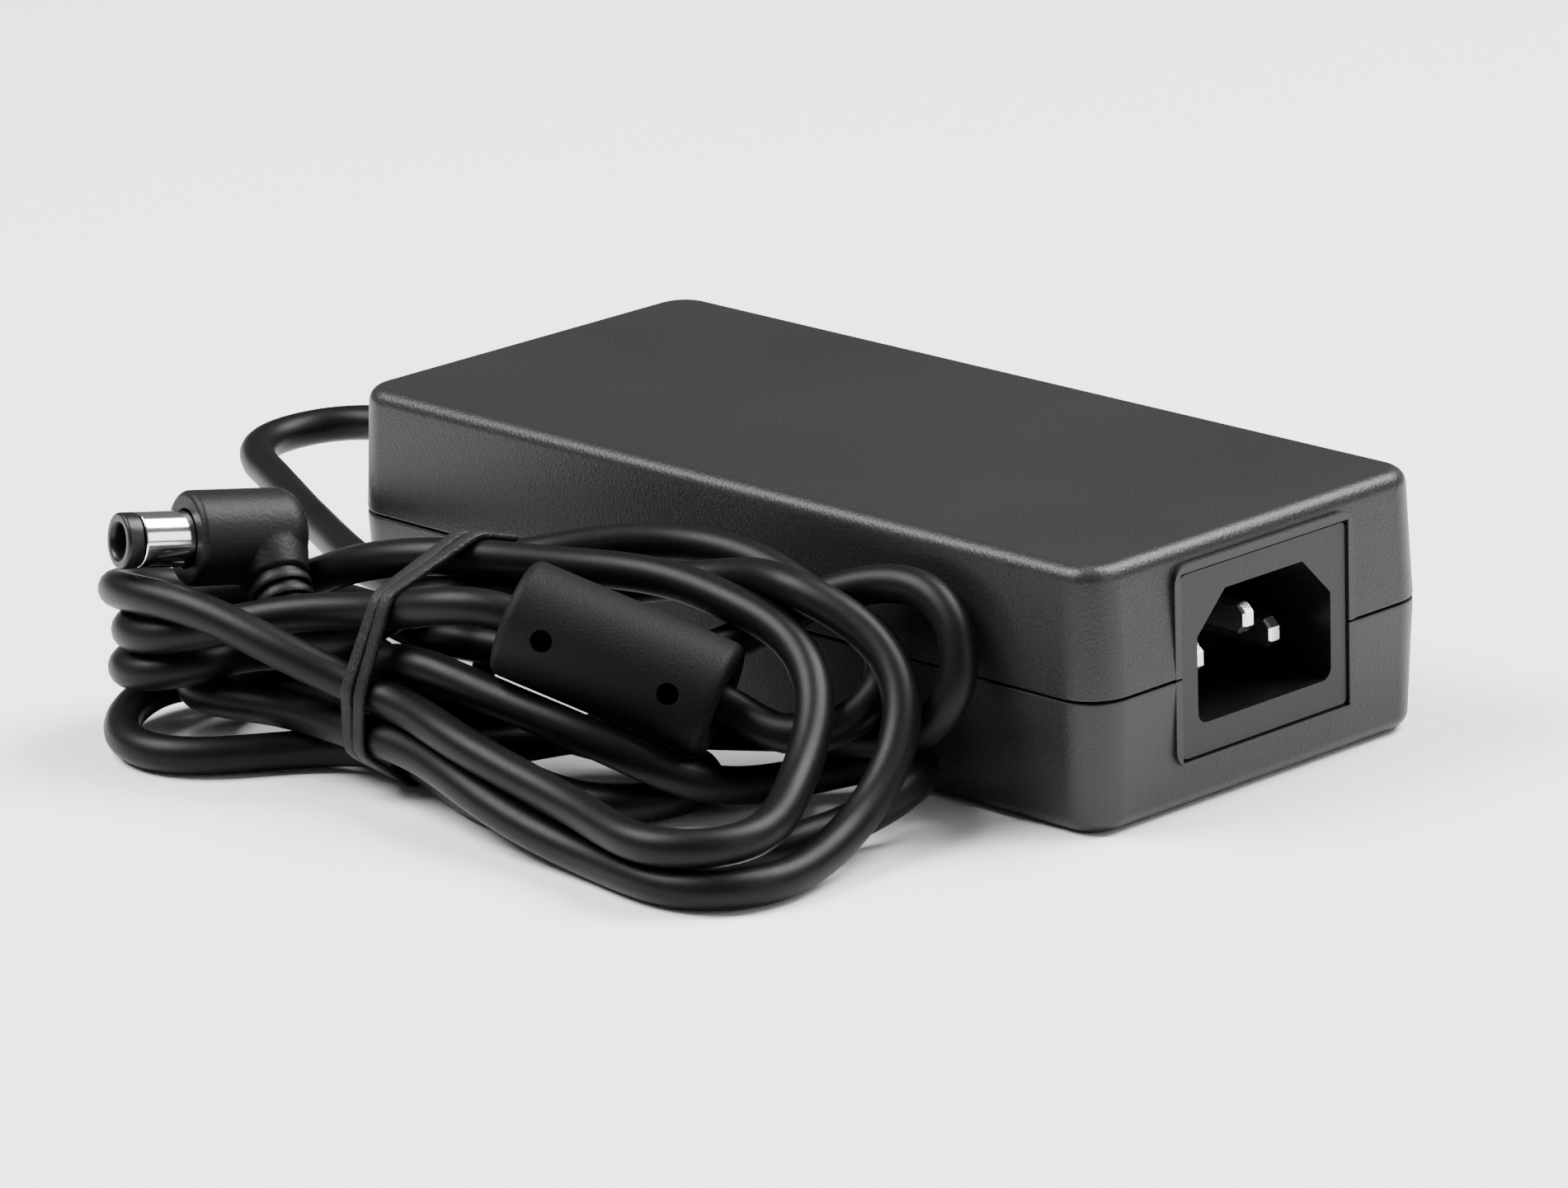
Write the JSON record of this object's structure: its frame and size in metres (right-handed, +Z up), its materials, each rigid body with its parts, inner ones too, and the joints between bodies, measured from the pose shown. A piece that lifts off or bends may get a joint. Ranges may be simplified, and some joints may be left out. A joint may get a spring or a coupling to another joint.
{
  "type": "laptop power adapter",
  "caption": "Black laptop power adapter brick with a C14 mains inlet and a thin output cord folded into a banded hank with a ferrite barrel and right-angle barrel plug.",
  "frame": {"origin": "centre of the case's underside, on the surface it stands on; the cord and what is on it are left out of the box", "axes": "+X along the case towards the mains inlet, +Z up, the hank lies on the -Y side"},
  "size_m": [0.1773, 0.125, 0.035],
  "materials": {
    "case": "fine moulded grain, matte black",
    "inlet_plastic": "smooth satin black",
    "pin_metal": "bright nickel plate",
    "board": "solder resist green",
    "sheet": "translucent film, off-white",
    "spreader": "rolled aluminium",
    "chip": "matte moulded epoxy",
    "fuse": "glazed ceramic",
    "film": "yellow film box",
    "ferrite_ceramic": "dark sintered ceramic",
    "copper": "enamelled copper wire",
    "capacitor_can": "shrink sleeve over aluminium",
    "winding_tape": "polyester tape",
    "disc_ceramic": "dipped disc",
    "moulding": "soft black moulding, fine grain",
    "cord_jacket": "satin black jacket",
    "elastic": "black woven elastic",
    "sleeve_metal": "mirror nickel plate",
    "contact_metal": "plated brass"
  },
  "bodies": {
    "root": {"upper_case": "case", "lower_case": "case", "inlet_body": "inlet_plastic", "earth_pin": "pin_metal", "line_pin": "pin_metal", "neutral_pin": "pin_metal", "circuit_board": "board", "insulation_sheet": "sheet", "primary_spreader": "spreader", "secondary_spreader": "spreader", "switching_transistor": "chip", "output_rectifier": "chip", "mains_fuse": "fuse", "x_capacitor": "film", "choke_core": "ferrite_ceramic", "choke_winding_line": "copper", "choke_winding_neutral": "copper", "bridge_rectifier": "chip", "bulk_capacitor": "capacitor_can", "transformer_core": "ferrite_ceramic", "transformer_winding": "winding_tape", "output_capacitor_1": "capacitor_can", "output_capacitor_2": "capacitor_can", "output_choke": "copper", "y_capacitor": "disc_ceramic", "optocoupler": "chip", "controller_chip": "chip", "cord_strain_relief": "moulding", "cord_lead": "cord_jacket", "cord_hank": "cord_jacket", "tie_band": "elastic", "ferrite_cover": "moulding", "ferrite_core": "ferrite_ceramic", "plug_body": "moulding", "plug_sleeve": "sleeve_metal", "plug_insulator": "inlet_plastic", "plug_contact": "contact_metal"}
  },
  "joints": []
}
